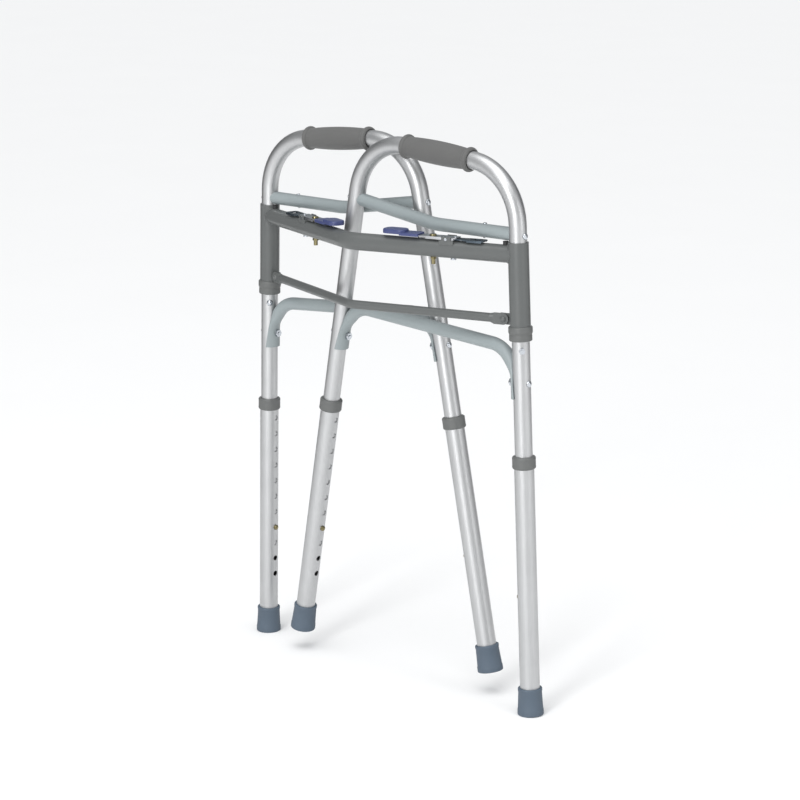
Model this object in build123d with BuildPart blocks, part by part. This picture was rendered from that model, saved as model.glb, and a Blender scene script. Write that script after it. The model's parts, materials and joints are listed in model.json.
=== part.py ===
from build123d import *
import os
from math import atan, cos, hypot, radians, sin, tan

# Folding walking frame, nearly folded flat. Two inverted-U side frames turn on their front legs inside
# the two sleeves of a V-bent front bar, each leg has a height-adjustable extension, and two levers on the
# front bar release the side frames. Millimetres, +Z up, X along the front bar, +Y towards the user.
# The origin is on the floor, under the middle of the whole folded frame.

# Driving dimensions
FEET_WIDTH = 560            # between the two front feet
FEET_DEPTH = 457.2          # between the two feet of one side frame
SPLAY = 2.08                # each front leg leans inwards by this many degrees
HALF_ANGLE = 6.25           # each leg of a side frame leans towards the other by this
LEFT_FOLD = 3.55            # plan angle of the left side frame at rest; 90 is open
RIGHT_FOLD = -2.86          # plan angle of the right side frame at rest, which lies in front of the left
HINGE_Y = 20.64             # the two hinge legs stand this far behind the origin

# Side frame tubes
LEG_OD = 25.4
LEG_WALL = 1.25
LEG_END = 138               # lower end of the upper tube, measured up the leg from the floor
GRIP_HEIGHT = 783.5         # tube centre above the floor line of the side frame
ARCH_RADIUS = 88
BRACE_OD = 19.05
BRACE_WALL = 1.4
UPPER_BRACE_HEIGHT = 692.5  # at its ends
UPPER_BRACE_DIP = 11.5      # the middle hangs this much lower
UPPER_BRACE_BEND = 150
LOWER_BRACE_HEIGHT = 530.5
LOWER_BRACE_RADIUS = 44
LOWER_BRACE_END = 461       # height of the lower brace's two tips
LOWER_BRACE_OFFSET = 13     # its end runs stand this far from the leg's centre line

# Grips
GRIP_LENGTH = 126
BEAD_RADIUS = 17.6
BEAD_WIDTH = 8
NECK_RADIUS = 15
NECK_INSET = 13
BARREL_RADIUS = 17.2

# Fasteners of the side frames
SCREW_DIAMETER = 5
NUT_HEIGHT = 3.4
BOLT_HEIGHT_UPPER = UPPER_BRACE_HEIGHT / cos(radians(HALF_ANGLE)) + 1
BOLT_HEIGHT_LOWER = 487
STOP_BOLT_HEIGHT = 535      # under the sleeve's collar
STOP_BOLT_TURN = -45
RIVET_DIAMETER = 3.2
RIVET_HEAD = 2.8
RIVET_ALONG = 136           # along the side frame's floor line

# Height adjustment
EXT_OD = 28.6
EXT_BORE = 25.56            # slides on the leg tube
EXT_BOTTOM = 9
EXT_TOP = 371
HOLE_PITCH = 25.4
HOLES_ABOVE = 7
HOLES_BELOW = 3
BUTTON_HEIGHT = 173.5
BUTTON_DIAMETER = 8
BUTTON_PROUD = 4.2
BUTTON_HOLE = 8.2
COLLAR_OD = 34
COLLAR_BOTTOM = 363.7
COLLAR_TOP = 382.1
TIP_HEIGHT = 40
TIP_TOP_RADIUS = 17.6
TIP_FOOT_RADIUS = 19
TIP_FOOT_HEIGHT = 8
TIP_SHOULDER = 0.7
TREAD_DEPTH = 1.4
TREAD_RINGS = (6, 12)
TREAD_WIDTH = 2.2
FLOOR_CUT = 2               # spare rubber below the leg's foot point, cut off level with the floor
SPRING_THICKNESS = 0.8
SPRING_WIDTH = 7

# Front brace
SLEEVE_OD = 29.6
SLEEVE_BORE = 27.2
SLEEVE_TOP = 686.6
SLEEVE_BOTTOM = 568.5
SLEEVE_COLLAR_BOTTOM = 547.9
SLEEVE_COLLAR_OD = 34.4
BUSH_BORE = 25.56
BUSH_LENGTH = 22
BAR_OD = 25.4
BAR_WALL = 1.6
BAR_HEIGHT = 668.8
BAR_REACH = 78              # the bend stands this far in front of the hinge legs
BAR_RADIUS = 50
ROD_OD = 12.7
ROD_WALL = 1.2
ROD_HEIGHT = 576.3
ROD_RADIUS = 30
LUG_REACH = 33              # the lug for the lower rod, from the sleeve's axis
LUG_SCREW = 25
LUG_THICKNESS = 3
FLAT_START = 46             # where the rod begins to flatten, from the hinge axis
FLAT_END = 40
FLAT_THICKNESS = 4
FLAT_HEIGHT = 16

# Release latch, measured along the bar from the hinge axis and up from the bar's centre line
LATCH_SHIFT = {"left": 26, "right": 3}
PIVOT_ALONG = 105
PIVOT_UP = 15.2
PIN_DIAMETER = 4
LEVER_WIDTH = 18
LEVER_BOTTOM = 16.2
LEVER_TOP = 17.6
LEVER_START = 90
LEVER_END = 162
HOOK_START = 48
HOOK_RIVET_ALONG = 95
HOOK_THICKNESS = 1.8
HOOK_WIDTH = 19
HOOK_OPENING = (12, 10)
HOOK_RIM = 1.6
PADDLE_END = 208
PADDLE_WIDTH = 24
PADDLE_HUB_START = 149
PADDLE_HUB_END = 180
PADDLE_HUB_BOTTOM = 15.6
PADDLE_HUB_TOP = 19.8
PADDLE_TIP_BOTTOM = 17.3
PADDLE_TIP_TOP = 23.6
LATCH_BOLT_ALONG = 130
LATCH_RIVET_ALONG = 98
BUMPER_ALONG = 19.5
LATCH_BOLT_DIAMETER = 6
LATCH_BOLT_BELOW = 23
EAR_THICKNESS = 1.6
EAR_TOP = 18.6
SADDLE_TOP = 13.2
SADDLE_LENGTH = 22
RUNNING_GAP = 0.3
LATCH_SPRING_OD = 9.4
LATCH_SPRING_WIRE = 0.8

SIDES = ("left", "right")
ENDS = ("front", "rear")


def save(piece, name):
    """Label a finished piece and write its STEP file."""
    piece.part.label = name
    export_step(piece.part, f"parts/{name}.step")


# ---------------------------------------------------------------- reference planes
def turned(plane, about_x, about_y, about_z):
    """A plane turned about its own axes."""
    return Plane(plane * Rotation(about_x, about_y, about_z))


def hinge_plane(side):
    """Plane of one side frame: origin at the front foot, Z up the hinge leg, X towards the rear leg."""
    sign = -1 if side == "left" else 1
    lean = radians(SPLAY)
    upright = Plane(
        origin=(sign * FEET_WIDTH / 2, HINGE_Y, 0),
        x_dir=(-sign * cos(lean), 0, -sin(lean)),
        z_dir=(-sign * sin(lean), 0, cos(lean)),
    )
    return turned(upright, 0, 0, LEFT_FOLD if side == "left" else -RIGHT_FOLD)


def side_plane(side):
    """The same plane turned so that X runs from foot to foot and Z is the side frame's own upright."""
    return turned(hinge_plane(side), 0, -HALF_ANGLE, 0)


def elevation(side):
    """Drawing plane of a side frame: x along its floor line, y up."""
    frame = side_plane(side)
    return Plane(origin=frame.origin, x_dir=frame.x_dir, z_dir=-frame.y_dir)


def leg_plane(side, end):
    """Z up the leg from its foot and X towards the frame's other leg, the same for all four legs."""
    if end == "front":
        return hinge_plane(side)
    frame = side_plane(side)
    lean = radians(HALF_ANGLE)
    return Plane(
        origin=frame.from_local_coords(Vector(FEET_DEPTH, 0, 0)),
        x_dir=frame.from_local_coords(Vector(FEET_DEPTH - cos(lean), 0, -sin(lean)))
        - frame.from_local_coords(Vector(FEET_DEPTH, 0, 0)),
        z_dir=frame.from_local_coords(Vector(FEET_DEPTH - sin(lean), 0, cos(lean)))
        - frame.from_local_coords(Vector(FEET_DEPTH, 0, 0)),
    )


def across(leg, height, turn=0):
    """Plane on a leg's axis at a height, with its normal towards the other leg, turned about the leg."""
    facing = turned(leg, 0, 0, turn)
    return Plane(
        origin=leg.from_local_coords(Vector(0, 0, height)),
        x_dir=facing.y_dir,
        z_dir=facing.x_dir,
    )


def along(leg, height):
    """Plane square to a leg at a height."""
    return leg.offset(height)


def profile_plane(leg):
    """Drawing plane through a leg's axis for turned shapes: x is the radius and y the height."""
    return Plane(origin=leg.origin, x_dir=leg.x_dir, z_dir=-leg.y_dir)


def leg_line(height):
    """Distance of a leg's centre line from its foot, along the side frame's floor line."""
    return height * tan(radians(HALF_ANGLE))


def bar_plane(side, height):
    """Origin on the hinge axis at a height, X along the front bar towards its bend, Z up."""
    sign = -1 if side == "left" else 1
    hinge_x = sign * (FEET_WIDTH / 2 - height * tan(radians(SPLAY)))
    return Plane(origin=(hinge_x, HINGE_Y, height), x_dir=(-hinge_x, -BAR_REACH, 0), z_dir=(0, 0, 1))


def bar_length(height):
    return hypot(FEET_WIDTH / 2 - height * tan(radians(SPLAY)), BAR_REACH)


def beside(plane):
    """Drawing plane through a bar: x along the bar, y up."""
    return Plane(origin=plane.origin, x_dir=plane.x_dir, z_dir=-plane.y_dir)


def ring(outer, inner):
    Circle(outer / 2)
    Circle(inner / 2, mode=Mode.SUBTRACT)


# ---------------------------------------------------------------- side frames
def tip_of_leg(distance):
    lean = radians(HALF_ANGLE)
    return (distance * sin(lean), distance * cos(lean))


def mirrored(point):
    return (FEET_DEPTH - point[0], point[1])


def side_tube(side):
    """Inverted-U tube: two legs and the straight hand rail, bent in one piece."""
    corner = (leg_line(GRIP_HEIGHT), GRIP_HEIGHT)
    foot = tip_of_leg(LEG_END)
    with BuildPart() as tube:
        with BuildLine(elevation(side)) as route:
            FilletPolyline(foot, corner, mirrored(corner), mirrored(foot), radius=ARCH_RADIUS)
        with BuildSketch(Plane(origin=route.line @ 0, z_dir=route.line % 0)):
            ring(LEG_OD, LEG_OD - 2 * LEG_WALL)
        sweep()
        for end in ENDS:
            leg = leg_plane(side, end)
            with BuildSketch(across(leg, BUTTON_HEIGHT)):
                Circle(BUTTON_HOLE / 2)
            extrude(amount=LEG_OD, mode=Mode.SUBTRACT)
            for height in (BOLT_HEIGHT_UPPER, BOLT_HEIGHT_LOWER):
                with BuildSketch(across(leg, height)):
                    Circle(SCREW_DIAMETER / 2)
                extrude(amount=LEG_OD, both=True, mode=Mode.SUBTRACT)
        with BuildSketch(across(leg_plane(side, "front"), STOP_BOLT_HEIGHT, STOP_BOLT_TURN)):
            Circle(SCREW_DIAMETER / 2)
        extrude(amount=LEG_OD, both=True, mode=Mode.SUBTRACT)
    save(tube, f"side_tube_{side}")


def cut_legs(side, radius):
    """Shape the ends of a cross tube to the two legs that it lies against."""
    for end in ENDS:
        with BuildSketch(along(leg_plane(side, end), LEG_END)) as leg:
            Circle(radius)
        extrude(leg.sketch, amount=GRIP_HEIGHT - LEG_END, mode=Mode.SUBTRACT)


def side_brace_upper(side):
    """Upper cross tube: a shallow V, its ends coped to the legs just above the sleeves."""
    start = (leg_line(UPPER_BRACE_HEIGHT) + LEG_OD / 4, UPPER_BRACE_HEIGHT)
    middle = (FEET_DEPTH / 2, UPPER_BRACE_HEIGHT - UPPER_BRACE_DIP)
    with BuildPart() as brace:
        with BuildLine(elevation(side)) as route:
            FilletPolyline(start, middle, mirrored(start), radius=UPPER_BRACE_BEND)
        with BuildSketch(Plane(origin=route.line @ 0, z_dir=route.line % 0)):
            ring(BRACE_OD, BRACE_OD - 2 * BRACE_WALL)
        sweep()
        cut_legs(side, LEG_OD / 2)
        with BuildSketch(rivet_plane(side)):
            Circle(RIVET_DIAMETER / 2)
        extrude(amount=BRACE_OD, both=True, mode=Mode.SUBTRACT)
    save(brace, f"side_brace_upper_{side}")


def rivet_plane(side):
    """Centre of the upper brace's tube where its rivet goes down through it."""
    start = leg_line(UPPER_BRACE_HEIGHT)
    drop = UPPER_BRACE_DIP * (RIVET_ALONG - start) / (FEET_DEPTH / 2 - start)
    frame = side_plane(side)
    return Plane(
        origin=frame.from_local_coords(Vector(RIVET_ALONG, 0, UPPER_BRACE_HEIGHT - drop)),
        x_dir=frame.x_dir,
        z_dir=frame.z_dir,
    )


def brace_rivet(side):
    plane = rivet_plane(side)
    half = BRACE_OD / 2 + 0.7
    with BuildPart() as rivet:
        with BuildSketch(plane.offset(-half)):
            Circle(RIVET_DIAMETER / 2)
        extrude(amount=2 * half)
        with BuildSketch(plane.offset(half)):
            Circle(RIVET_HEAD)
        extrude(amount=1.3)
        fillet(rivet.edges().filter_by(GeomType.CIRCLE).sort_by(Axis(plane.origin, plane.z_dir))[-1], 0.9)
    save(rivet, f"brace_rivet_{side}")


def side_brace_lower(side):
    """Lower cross tube: level, its ends turned down along the inside of the legs and cupped to them."""
    def beside_leg(height):
        return (leg_line(height) + LOWER_BRACE_OFFSET / cos(radians(HALF_ANGLE)), height)

    tip = beside_leg(LOWER_BRACE_END)
    corner = beside_leg(LOWER_BRACE_HEIGHT)
    with BuildPart() as brace:
        with BuildLine(elevation(side)) as route:
            FilletPolyline(tip, corner, mirrored(corner), mirrored(tip), radius=LOWER_BRACE_RADIUS)
        with BuildSketch(Plane(origin=route.line @ 0, z_dir=route.line % 0)):
            ring(BRACE_OD, BRACE_OD - 2 * BRACE_WALL)
        sweep()
        cut_legs(side, LEG_OD / 2)
        for end in ENDS:
            with BuildSketch(across(leg_plane(side, end), BOLT_HEIGHT_LOWER)):
                Circle(SCREW_DIAMETER / 2)
            extrude(amount=LEG_OD + BRACE_OD, mode=Mode.SUBTRACT)
    save(brace, f"side_brace_lower_{side}")


def hand_grip(side):
    """Moulded grip: a crowned barrel with a round bead at each end, pushed on to the hand rail."""
    half = GRIP_LENGTH / 2
    frame = side_plane(side)
    plane = Plane(
        origin=frame.from_local_coords(Vector(FEET_DEPTH / 2, 0, GRIP_HEIGHT)),
        x_dir=frame.x_dir,
        z_dir=-frame.y_dir,
    )
    with BuildPart() as grip:
        with BuildSketch(plane):
            with BuildLine():
                Polyline((-half, BEAD_RADIUS - 2), (-half, LEG_OD / 2), (half, LEG_OD / 2),
                         (half, BEAD_RADIUS - 2))
                ThreePointArc((half, BEAD_RADIUS - 2), (half - BEAD_WIDTH / 2, BEAD_RADIUS),
                              (half - BEAD_WIDTH, BEAD_RADIUS - 2))
                Line((half - BEAD_WIDTH, BEAD_RADIUS - 2), (half - NECK_INSET, NECK_RADIUS))
                ThreePointArc((half - NECK_INSET, NECK_RADIUS), (0, BARREL_RADIUS),
                              (NECK_INSET - half, NECK_RADIUS))
                Line((NECK_INSET - half, NECK_RADIUS), (BEAD_WIDTH - half, BEAD_RADIUS - 2))
                ThreePointArc((BEAD_WIDTH - half, BEAD_RADIUS - 2), (BEAD_WIDTH / 2 - half, BEAD_RADIUS),
                              (-half, BEAD_RADIUS - 2))
            make_face()
        revolve(axis=Axis(plane.origin, frame.x_dir))
    save(grip, f"hand_grip_{side}")


def domed_screw(plane, start, head_radius, head_height, reach):
    """A screw along the plane's normal: a shank from -reach to the head, which sits on start."""
    with BuildSketch(plane.offset(-reach)) as shank:
        Circle(SCREW_DIAMETER / 2)
    extrude(shank.sketch, amount=reach + start)
    with BuildSketch(Plane(origin=plane.origin, x_dir=plane.x_dir, z_dir=-plane.y_dir)) as head:
        with BuildLine():
            Polyline((0, start + head_height), (0, start), (head_radius, start))
            TangentArc((0, start + head_height), (head_radius, start), tangent=(1, 0))
        make_face()
    revolve(head.sketch, axis=Axis(plane.origin, plane.z_dir))


def flipped(plane):
    return Plane(origin=plane.origin, x_dir=plane.x_dir, z_dir=-plane.z_dir)


def brace_bolts(side):
    """Upper braces: a screw in each leg from outside. Lower braces: a bolt with a nut on the inside."""
    with BuildPart() as bolts:
        for end in ENDS:
            leg = leg_plane(side, end)
            domed_screw(flipped(across(leg, BOLT_HEIGHT_UPPER)), LEG_OD / 2, 4.6, 3, LEG_OD / 2 + 16)
            outside = flipped(across(leg, BOLT_HEIGHT_LOWER))
            nut_face = LOWER_BRACE_OFFSET + BRACE_OD / 2 + 0.1
            domed_screw(outside, LEG_OD / 2, 4.6, 3, nut_face + NUT_HEIGHT + 0.8)
            with BuildSketch(outside.offset(-nut_face - NUT_HEIGHT)):
                RegularPolygon(4.4, 6)
            extrude(amount=NUT_HEIGHT)
    save(bolts, f"brace_bolts_{side}")


def brace_plugs(side):
    """Threaded plugs inside the ends of the upper brace."""
    with BuildPart() as plugs:
        for end in ENDS:
            plane = across(leg_plane(side, end), BOLT_HEIGHT_UPPER)
            with BuildSketch(plane.offset(LEG_OD / 2 + 4)):
                Circle(BRACE_OD / 2 - BRACE_WALL - 1)
                Circle(SCREW_DIAMETER / 2, mode=Mode.SUBTRACT)
            extrude(amount=12)
    save(plugs, f"brace_plugs_{side}")


def stop_bolt(side):
    """Bolt and nut through the hinge leg, under the sleeve's collar."""
    plane = across(leg_plane(side, "front"), STOP_BOLT_HEIGHT, STOP_BOLT_TURN)
    with BuildPart() as bolt:
        domed_screw(plane, LEG_OD / 2, 4.8, 3.2, LEG_OD / 2 + 4.5)
        with BuildSketch(plane.offset(-LEG_OD / 2 - NUT_HEIGHT)):
            RegularPolygon(4.6, 6)
        extrude(amount=NUT_HEIGHT)
    save(bolt, f"stop_bolt_{side}")


# ---------------------------------------------------------------- leg extensions
def leg_extension(side, end):
    """Lower tube with a row of adjustment holes on the side that faces the frame's other leg."""
    leg = leg_plane(side, end)
    with BuildPart() as extension:
        with BuildSketch(along(leg, EXT_BOTTOM)):
            ring(EXT_OD, EXT_BORE)
        extrude(amount=EXT_TOP - EXT_BOTTOM)
        for step in range(-HOLES_BELOW, HOLES_ABOVE + 1):
            with BuildSketch(across(leg, BUTTON_HEIGHT + step * HOLE_PITCH)):
                Circle(BUTTON_HOLE / 2)
            extrude(amount=EXT_OD, mode=Mode.SUBTRACT)
    save(extension, f"leg_extension_{end}_{side}")


def leg_collar(side, end):
    """Plastic collar that caps the extension and guides the leg tube."""
    leg = leg_plane(side, end)
    with BuildPart() as collar:
        with BuildSketch(along(leg, COLLAR_BOTTOM)):
            ring(COLLAR_OD, EXT_OD)
        extrude(amount=EXT_TOP - COLLAR_BOTTOM)
        with BuildSketch(along(leg, EXT_TOP)):
            ring(COLLAR_OD, EXT_BORE)
        extrude(amount=COLLAR_TOP - EXT_TOP)
        rims = collar.edges().filter_by(GeomType.CIRCLE)
        rims = rims.filter_by(lambda edge: edge.radius > EXT_OD / 2 + 1)
        ordered = rims.sort_by(lambda edge: leg.to_local_coords(edge.center()).Z)
        fillet([ordered[0], ordered[-1]], 2)
    save(collar, f"leg_collar_{end}_{side}")


def rubber_tip(side, end):
    """Moulded tip with a wider foot and ring tread. The front pair is square to the floor, not the leg."""
    leg = leg_plane(side, end)
    bottom = -FLOOR_CUT if end == "front" else 0
    with BuildPart() as tip:
        with BuildSketch(profile_plane(leg)):
            with BuildLine():
                Polyline((0, bottom), (TIP_FOOT_RADIUS, bottom), (TIP_FOOT_RADIUS, TIP_FOOT_HEIGHT),
                         (TIP_FOOT_RADIUS - TIP_SHOULDER, TIP_FOOT_HEIGHT + 1),
                         (TIP_TOP_RADIUS, TIP_HEIGHT - 1.5), (TIP_TOP_RADIUS - 1.5, TIP_HEIGHT),
                         (EXT_OD / 2, TIP_HEIGHT), (EXT_OD / 2, EXT_BOTTOM), (0, EXT_BOTTOM), (0, bottom))
            make_face()
        revolve(axis=Axis(leg.origin, leg.z_dir))
        if end == "front":
            split(bisect_by=Plane.XY, keep=Keep.TOP)
            tread = Plane(origin=(leg.origin.X, leg.origin.Y, 0), z_dir=(0, 0, 1))
        else:
            tread = leg
        for radius in TREAD_RINGS:
            with BuildSketch(tread):
                ring(2 * radius + TREAD_WIDTH, 2 * radius - TREAD_WIDTH)
            extrude(amount=TREAD_DEPTH, mode=Mode.SUBTRACT)
    save(tip, f"rubber_tip_{end}_{side}")


def snap_button(side, end):
    """Domed button on the spring inside the leg, standing out through both tubes."""
    plane = across(leg_plane(side, end), BUTTON_HEIGHT)
    proud = EXT_OD / 2 + BUTTON_PROUD
    shoulder = proud - 2.2
    radius = BUTTON_DIAMETER / 2
    with BuildPart() as button:
        with BuildSketch(Plane(origin=plane.origin, x_dir=plane.x_dir, z_dir=-plane.y_dir)):
            with BuildLine():
                Polyline((0, proud), (0, 8), (radius + 1.2, 8), (radius + 1.2, 9.3), (radius, 9.3),
                         (radius, shoulder))
                TangentArc((0, proud), (radius, shoulder), tangent=(1, 0))
            make_face()
        revolve(axis=Axis(plane.origin, plane.z_dir))
    save(button, f"snap_button_{end}_{side}")


def button_springs(side):
    """V-shaped strip springs inside the two legs, one arm behind the button, one on the far wall."""
    with BuildPart() as springs:
        for end in ENDS:
            leg = leg_plane(side, end)
            with BuildSketch(profile_plane(leg)):
                with BuildLine():
                    arm = FilletPolyline((6.6, BUTTON_HEIGHT - 8), (6.6, BUTTON_HEIGHT + 14),
                                         (-1.5, BUTTON_HEIGHT + 52), (-9.8, BUTTON_HEIGHT + 4),
                                         (-9.8, BUTTON_HEIGHT - 14), radius=[6, 3, 6])
                    offset(arm, amount=SPRING_THICKNESS, side=Side.LEFT)
                make_face()
            extrude(amount=SPRING_WIDTH / 2, both=True)
    save(springs, f"button_springs_{side}")


# ---------------------------------------------------------------- front brace
def bar_route(height, radius, inset):
    """Centre line of a front bar: two straight halves that meet in one bend at the front."""
    with BuildLine(Plane.XY.offset(height)) as route:
        ends = [bar_plane(side, height).from_local_coords(Vector(inset, 0, 0)) for side in SIDES]
        FilletPolyline((ends[0].X, ends[0].Y), (0, HINGE_Y - BAR_REACH), (ends[1].X, ends[1].Y),
                       radius=radius)
    return route.line


def drill_down(side, distance, diameter, depth=BAR_OD):
    with BuildSketch(bar_plane(side, BAR_HEIGHT).offset(-depth)) as hole:
        with Locations((distance + LATCH_SHIFT[side], 0)):
            Circle(diameter / 2)
    extrude(hole.sketch, amount=2 * depth, mode=Mode.SUBTRACT)


def front_bar_upper():
    route = bar_route(BAR_HEIGHT, BAR_RADIUS, 2)
    with BuildPart() as bar:
        with BuildSketch(Plane(origin=route @ 0, z_dir=route % 0)):
            ring(BAR_OD, BAR_OD - 2 * BAR_WALL)
        sweep(path=route)
        for side in SIDES:
            with BuildSketch(along(leg_plane(side, "front"), SLEEVE_BOTTOM)):
                Circle(SLEEVE_OD / 2)
            extrude(amount=SLEEVE_TOP - SLEEVE_BOTTOM + LEG_OD, mode=Mode.SUBTRACT)
            drill_down(side, LATCH_BOLT_ALONG, LATCH_BOLT_DIAMETER)
            drill_down(side, LATCH_RIVET_ALONG, SCREW_DIAMETER)
    save(bar, "front_bar_upper")


def front_bar_lower():
    """Thin rod under the bar. Each end is pressed flat and lies on the front face of the sleeve's lug."""
    route = bar_route(ROD_HEIGHT, ROD_RADIUS, FLAT_START)
    with BuildPart() as rod:
        with BuildSketch(Plane(origin=route @ 0, z_dir=route % 0)):
            ring(ROD_OD, ROD_OD - 2 * ROD_WALL)
        sweep(path=route)
        for side in SIDES:
            plane = bar_plane(side, ROD_HEIGHT)
            round_end = Plane(origin=plane.from_local_coords(Vector(FLAT_START, 0, 0)),
                              x_dir=plane.y_dir, z_dir=-plane.x_dir)
            flat_middle = front_sign(side) * FLAT_THICKNESS / 2
            with BuildSketch(round_end):
                Circle(ROD_OD / 2)
            with BuildSketch(round_end.offset(FLAT_START - FLAT_END)):
                with Locations((flat_middle, 0)):
                    RectangleRounded(FLAT_THICKNESS, FLAT_HEIGHT, 1)
            loft()
            with BuildSketch(beside(plane).offset(-front_sign(side) * FLAT_THICKNESS)):
                with Locations(((FLAT_END + LUG_SCREW) / 2, 0)):
                    Rectangle(FLAT_END - LUG_SCREW, FLAT_HEIGHT)
                with Locations((LUG_SCREW, 0)):
                    Circle(FLAT_HEIGHT / 2)
                    Circle(SCREW_DIAMETER / 2, mode=Mode.SUBTRACT)
            extrude(amount=front_sign(side) * FLAT_THICKNESS)
            with BuildSketch(along(leg_plane(side, "front"), SLEEVE_BOTTOM - BAR_OD)):
                Circle(SLEEVE_OD / 2 + 0.3)
            extrude(amount=SLEEVE_TOP - SLEEVE_BOTTOM, mode=Mode.SUBTRACT)
    save(rod, "front_bar_lower")


def front_sign(side):
    """Local Y of a bar plane points to the back on the left half and to the front on the right half."""
    return -1 if side == "left" else 1


def hinge_sleeve(side):
    """Sleeve that turns on the hinge leg, with a welded lug for the lower rod."""
    leg = leg_plane(side, "front")
    plane = bar_plane(side, ROD_HEIGHT)
    with BuildPart() as sleeve:
        with BuildSketch(beside(plane)):
            with Locations((LUG_REACH / 2, 0)):
                RectangleRounded(LUG_REACH, FLAT_HEIGHT, 2.5)
            with Locations((LUG_SCREW, 0)):
                Circle(SCREW_DIAMETER / 2, mode=Mode.SUBTRACT)
        extrude(amount=front_sign(side) * LUG_THICKNESS)
        with BuildSketch(along(leg, SLEEVE_BOTTOM)):
            Circle(SLEEVE_OD / 2)
        extrude(amount=SLEEVE_TOP - SLEEVE_BOTTOM)
        with BuildSketch(along(leg, SLEEVE_BOTTOM - 1)):
            Circle(SLEEVE_BORE / 2)
        extrude(amount=SLEEVE_TOP - SLEEVE_BOTTOM + 2, mode=Mode.SUBTRACT)
    save(sleeve, f"hinge_sleeve_{side}")


def sleeve_collar(side):
    """Plastic collar under the sleeve, with a spigot inside it that runs on the leg."""
    leg = leg_plane(side, "front")
    flange = SLEEVE_COLLAR_OD / 2
    with BuildPart() as collar:
        with BuildSketch(profile_plane(leg)):
            with BuildLine():
                Polyline((BUSH_BORE / 2, SLEEVE_COLLAR_BOTTOM), (flange - 2.6, SLEEVE_COLLAR_BOTTOM),
                         (flange - 0.6, SLEEVE_COLLAR_BOTTOM + 6), (flange - 0.4, SLEEVE_BOTTOM - 5),
                         (flange, SLEEVE_BOTTOM - 4), (flange, SLEEVE_BOTTOM - 1), (flange - 1, SLEEVE_BOTTOM),
                         (SLEEVE_BORE / 2, SLEEVE_BOTTOM), (SLEEVE_BORE / 2, SLEEVE_BOTTOM + BUSH_LENGTH),
                         (BUSH_BORE / 2, SLEEVE_BOTTOM + BUSH_LENGTH), close=True)
            make_face()
        revolve(axis=Axis(leg.origin, leg.z_dir))
    save(collar, f"sleeve_collar_{side}")


def sleeve_bush(side):
    """Plastic bush in the top of the sleeve."""
    with BuildPart() as bush:
        with BuildSketch(along(leg_plane(side, "front"), SLEEVE_TOP - BUSH_LENGTH)):
            ring(SLEEVE_BORE, BUSH_BORE)
        extrude(amount=BUSH_LENGTH)
    save(bush, f"sleeve_bush_{side}")


def front_bar_screws():
    """One screw and nut through each flattened rod end and its lug."""
    with BuildPart() as screws:
        for side in SIDES:
            plane = bar_plane(side, ROD_HEIGHT)
            face = Plane(origin=plane.from_local_coords(Vector(LUG_SCREW, 0, 0)),
                         x_dir=plane.x_dir, z_dir=(-plane.y_dir if side == "left" else plane.y_dir))
            domed_screw(face, FLAT_THICKNESS, 4.6, 2.8, LUG_THICKNESS + 4)
            with BuildSketch(face.offset(-LUG_THICKNESS - 3)):
                RegularPolygon(4.4, 6)
            extrude(amount=3)
    save(screws, "front_bar_screws")


def bar_bumpers():
    """Small rubber bumpers on the bar, under the folded side frames' upper braces."""
    with BuildPart() as bumpers:
        for side in SIDES:
            with BuildSketch(bar_plane(side, BAR_HEIGHT)):
                with Locations((BUMPER_ALONG, 0)):
                    Circle(4)
            extrude(amount=BAR_OD / 2 + 5)
            with BuildSketch(bar_cross_section(side, 0)):
                Circle(BAR_OD / 2)
            extrude(amount=2 * BAR_OD, mode=Mode.SUBTRACT)
    save(bumpers, "bar_bumpers")


def bar_cross_section(side, distance):
    """Plane square to the upper bar, its x across the bar and y up."""
    plane = bar_plane(side, BAR_HEIGHT)
    return Plane(origin=plane.from_local_coords(Vector(distance, 0, 0)), x_dir=plane.y_dir,
                 z_dir=plane.x_dir)


# ---------------------------------------------------------------- release latches
def latch_plane(side):
    """Latch datum: the bar's centre line under the lever's pivot pin."""
    plane = bar_plane(side, BAR_HEIGHT)
    return Plane(origin=plane.from_local_coords(Vector(PIVOT_ALONG + LATCH_SHIFT[side], 0, 0)),
                 x_dir=plane.x_dir, z_dir=plane.z_dir)


def latch_x(distance):
    """Place along the latch from a distance measured from the hinge axis."""
    return distance - PIVOT_ALONG


def latch_bracket(side):
    """Saddle on the bar with two ears that hold the lever's pivot pin."""
    plane = latch_plane(side)
    ear_middle = LEVER_WIDTH / 2 + RUNNING_GAP + EAR_THICKNESS / 2
    with BuildPart() as bracket:
        with BuildSketch(plane.offset(7)):
            Rectangle(SADDLE_LENGTH, 2 * ear_middle + EAR_THICKNESS)
        extrude(amount=SADDLE_TOP - 7)
        with BuildSketch(plane.offset(7)):
            with GridLocations(0, 2 * ear_middle, 1, 2):
                Rectangle(SADDLE_LENGTH - 8, EAR_THICKNESS)
        extrude(amount=EAR_TOP - 7)
        with BuildSketch(Plane(origin=plane.origin, x_dir=plane.y_dir, z_dir=plane.x_dir)):
            Circle(BAR_OD / 2)
        extrude(amount=SADDLE_LENGTH, both=True, mode=Mode.SUBTRACT)
        with BuildSketch(beside(plane)):
            with Locations((0, PIVOT_UP)):
                Circle(PIN_DIAMETER / 2)
        extrude(amount=LEVER_WIDTH, both=True, mode=Mode.SUBTRACT)
        with BuildSketch(plane):
            with Locations((latch_x(LATCH_RIVET_ALONG), 0)):
                Circle(SCREW_DIAMETER / 2)
        extrude(amount=EAR_TOP, mode=Mode.SUBTRACT)
    save(bracket, f"latch_bracket_{side}")


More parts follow.
